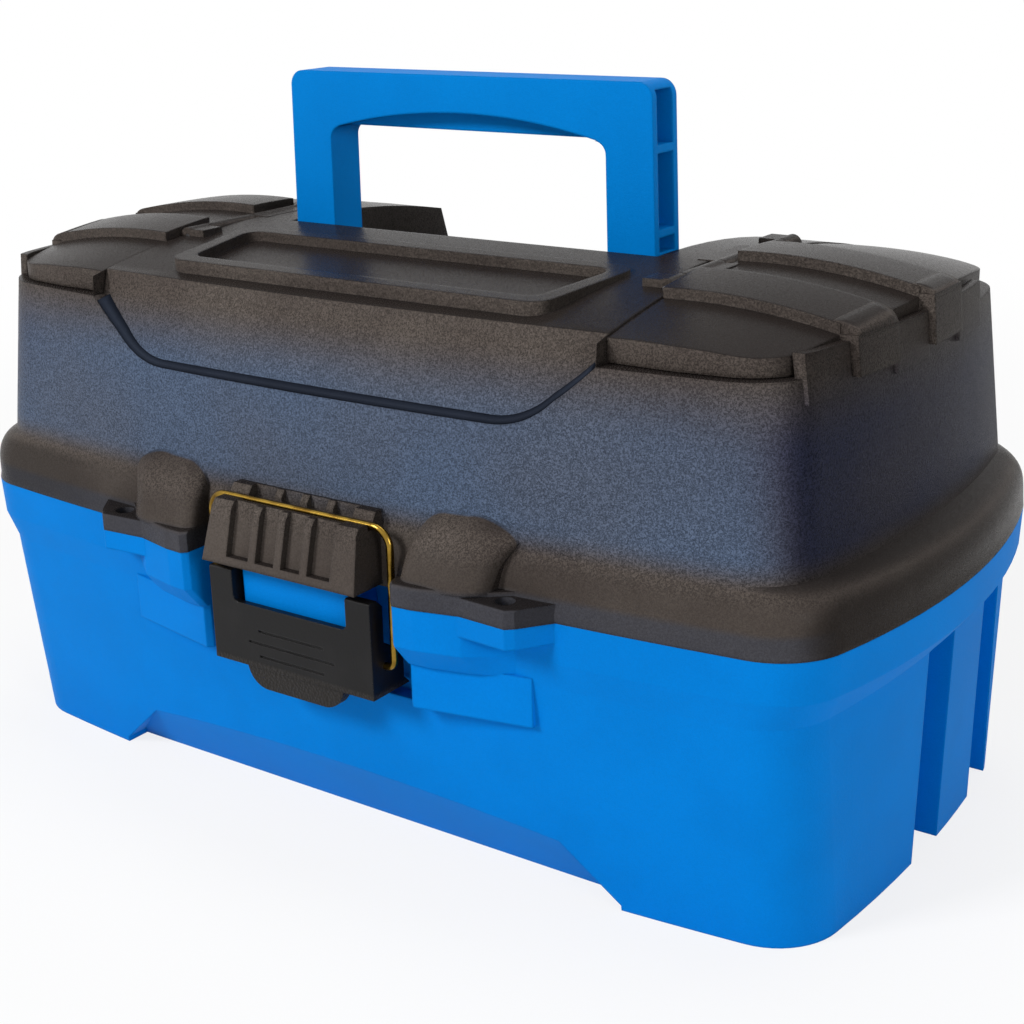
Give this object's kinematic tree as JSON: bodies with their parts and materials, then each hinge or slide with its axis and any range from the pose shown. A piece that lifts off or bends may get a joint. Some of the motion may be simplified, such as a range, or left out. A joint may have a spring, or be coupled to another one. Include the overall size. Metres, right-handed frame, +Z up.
{
  "type": "fishing tackle cabinet",
  "caption": "Portable tackle box with a see-through lid, end bins under hinged doors, a wire-bail latch, fold-down handle and cantilever trays.",
  "frame": {"origin": "centre of the tub's flat underside", "axes": "+X along the length to the right, +Y to the hinge side, +Z up; the latch faces -Y"},
  "size_m": [0.412, 0.2515, 0.273],
  "materials": {
    "tub_blue": "textured",
    "lid_smoke": "grained",
    "handle_blue": "satin",
    "latch_black": "satin",
    "brass_wire": "plated",
    "tray_blue": "satin",
    "arm_steel": "zinc plated"
  },
  "bodies": {
    "tub": {"tub": "tub_blue", "lid_hinge_pins": "arm_steel", "base_rivets": "arm_steel"},
    "lid": {"lid": "lid_smoke", "right_door_pin": "arm_steel", "left_door_pin": "arm_steel", "handle_pivot_pins": "arm_steel", "lid_arm_screws": "arm_steel", "right_lid_arm": "arm_steel", "left_lid_arm": "arm_steel"},
    "right_door": {"right_bin_door": "lid_smoke"},
    "left_door": {"left_bin_door": "lid_smoke"},
    "handle": {"handle": "handle_blue"},
    "bail": {"latch_bail": "brass_wire"},
    "lever": {"latch_lever": "latch_black"},
    "lower_tray": {"lower_tray": "tray_blue", "lower_tray_dividers": "tray_blue", "lower_tray_rivets": "arm_steel"},
    "upper_tray": {"upper_tray": "tray_blue", "upper_tray_dividers": "tray_blue", "upper_tray_rivets": "arm_steel"},
    "base_arms": {"right_base_arm": "arm_steel", "left_base_arm": "arm_steel"}
  },
  "joints": [
    {"name": "lid_hinge", "type": "hinge", "parent": "tub", "child": "lid", "pos_m": [0, 0.1185, 0.102], "axis": [-1, 0, 0], "range_deg": [0, 100]},
    {"name": "right_door_hinge", "type": "hinge", "parent": "lid", "child": "right_door", "pos_m": [0.1116, 0, 0.2094], "axis": [0, -1, 0], "range_deg": [0, 90]},
    {"name": "left_door_hinge", "type": "hinge", "parent": "lid", "child": "left_door", "pos_m": [-0.1116, 0, 0.2094], "axis": [0, 1, 0], "range_deg": [0, 90]},
    {"name": "handle_pivot", "type": "hinge", "parent": "lid", "child": "handle", "pos_m": [0, -0.0015, 0.203], "axis": [-1, 0, 0], "range_deg": [0, 90]},
    {"name": "bail_pivot", "type": "hinge", "parent": "lid", "child": "bail", "pos_m": [0, -0.1146, 0.1318], "axis": [-1, 0, 0], "range_deg": [0, 95]},
    {"name": "lever_pivot", "type": "hinge", "parent": "bail", "child": "lever", "pos_m": [0, -0.1154, 0.0804], "axis": [-1, 0, 0], "range_deg": [0, 60]},
    {"name": "lower_tray_pivot", "type": "hinge", "parent": "lid", "child": "lower_tray", "pos_m": [0, 0.0702, 0.11494], "axis": [-1, 0, 0], "range_deg": [-100, 0]},
    {"name": "upper_tray_pivot", "type": "hinge", "parent": "lid", "child": "upper_tray", "pos_m": [0, 0.03543, 0.12426], "axis": [-1, 0, 0], "range_deg": [-100, 0]},
    {"name": "base_arm_pivot", "type": "hinge", "parent": "tub", "child": "base_arms", "pos_m": [0, 0.0565, 0.102], "axis": [-1, 0, 0], "range_deg": [0, 100]}
  ],
  "couplings": [
    {"joint": "lower_tray_pivot", "follows": "lid_hinge", "ratio": -1},
    {"joint": "upper_tray_pivot", "follows": "lid_hinge", "ratio": -1},
    {"joint": "base_arm_pivot", "follows": "lid_hinge", "ratio": 1},
    {"joint": "lever_pivot", "follows": "bail_pivot", "ratio": 0.6}
  ]
}
